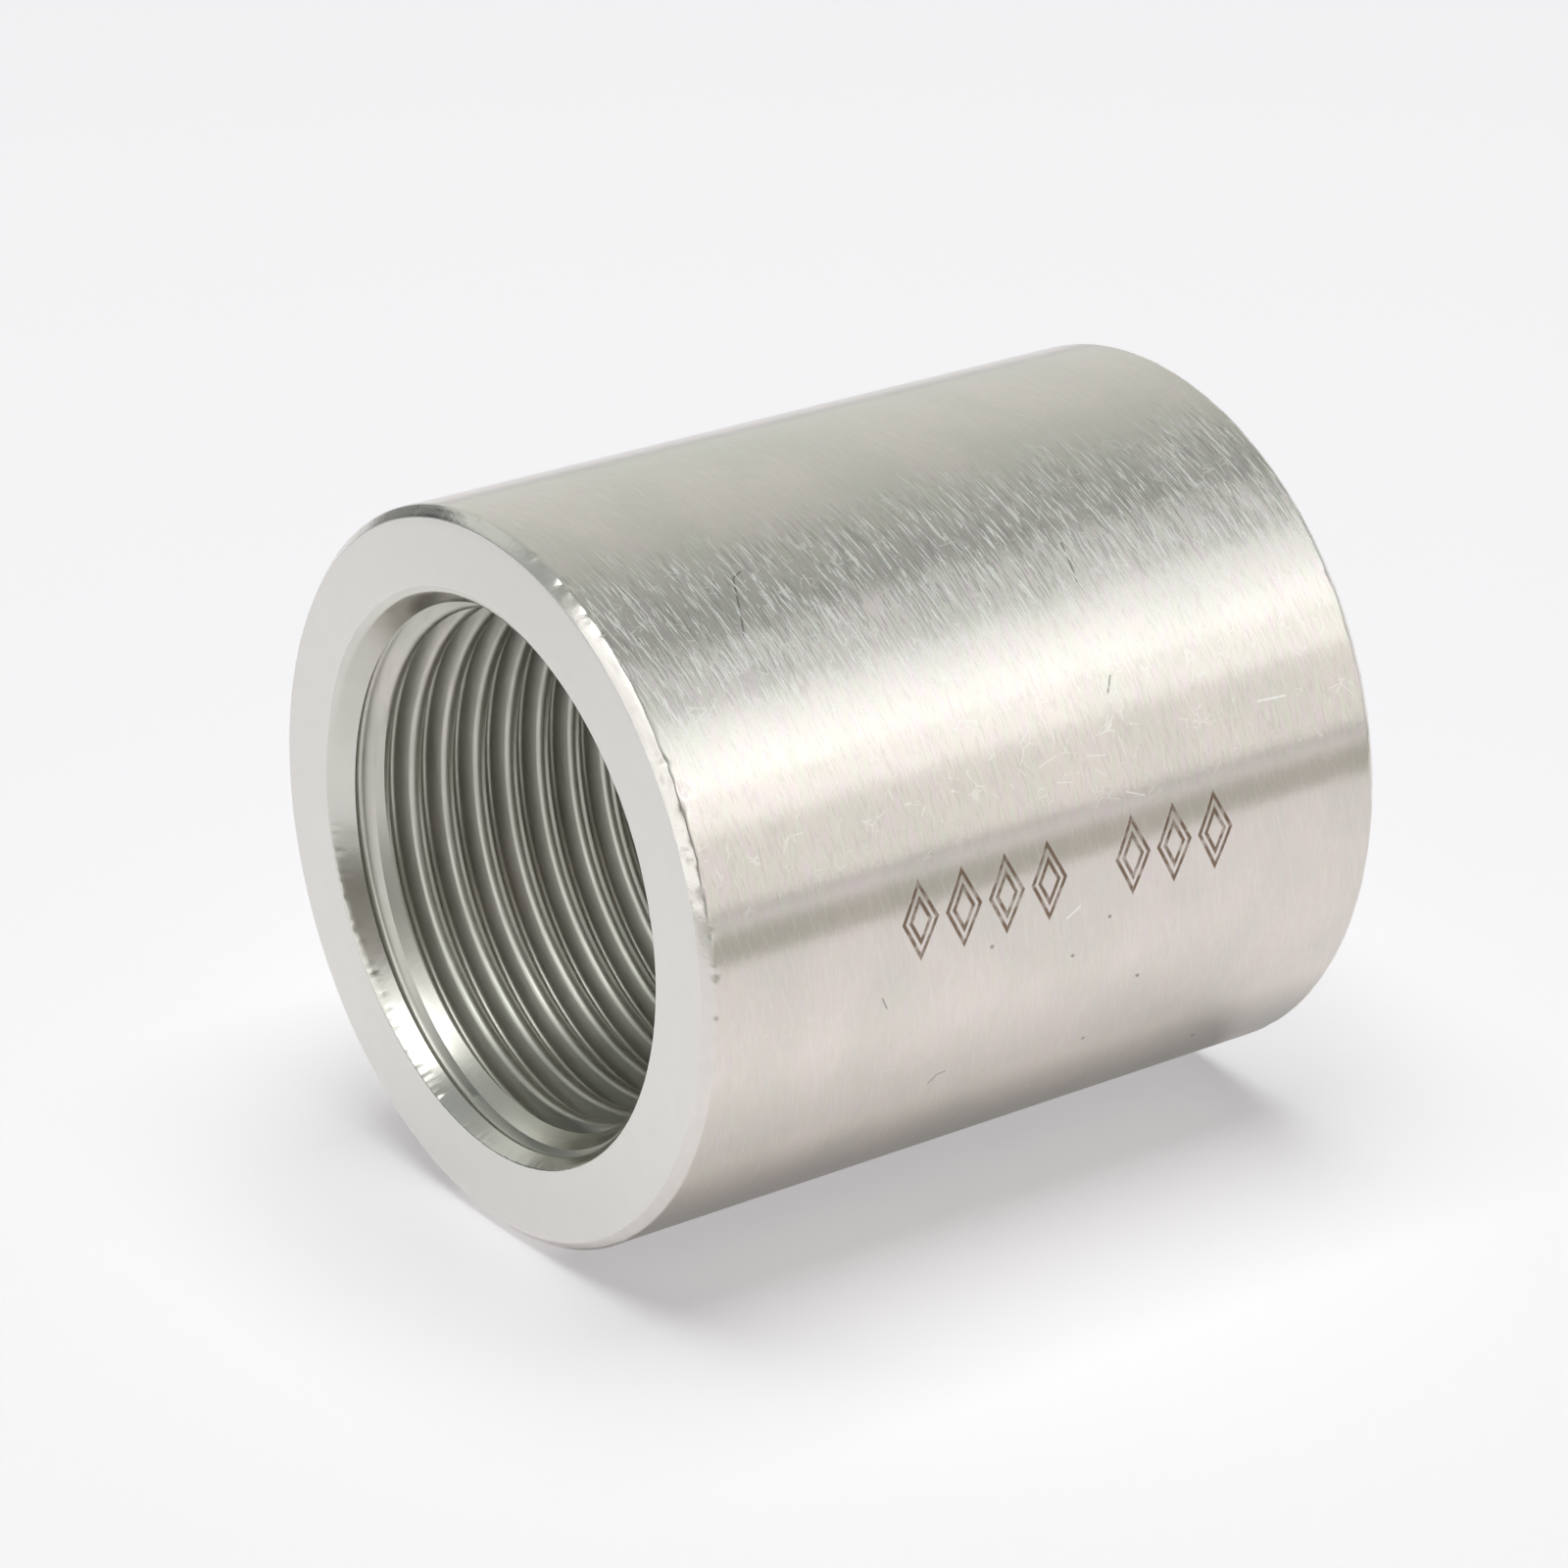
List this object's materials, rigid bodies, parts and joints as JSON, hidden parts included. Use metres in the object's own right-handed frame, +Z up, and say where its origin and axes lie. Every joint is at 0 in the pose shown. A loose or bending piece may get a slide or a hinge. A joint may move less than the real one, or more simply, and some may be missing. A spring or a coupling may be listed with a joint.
{
  "type": "pipe coupling",
  "caption": "Round stainless steel pipe coupling, female pipe thread right through, countersunk mouths and chamfered ends, for joining the threaded ends of two pipes in line.",
  "frame": {"origin": "middle of the bore, halfway between the two end faces", "axes": "+X along the bore; the coupling lies on its side, +Z up, and the surface under it is at Z = -17.5 mm"},
  "size_m": [0.0386, 0.035, 0.035],
  "materials": {
    "stainless_steel": "satin, fine circumferential brushing over the turned body, matte faced ends"
  },
  "bodies": {
    "root": {"coupling_body": "stainless_steel"}
  },
  "joints": []
}
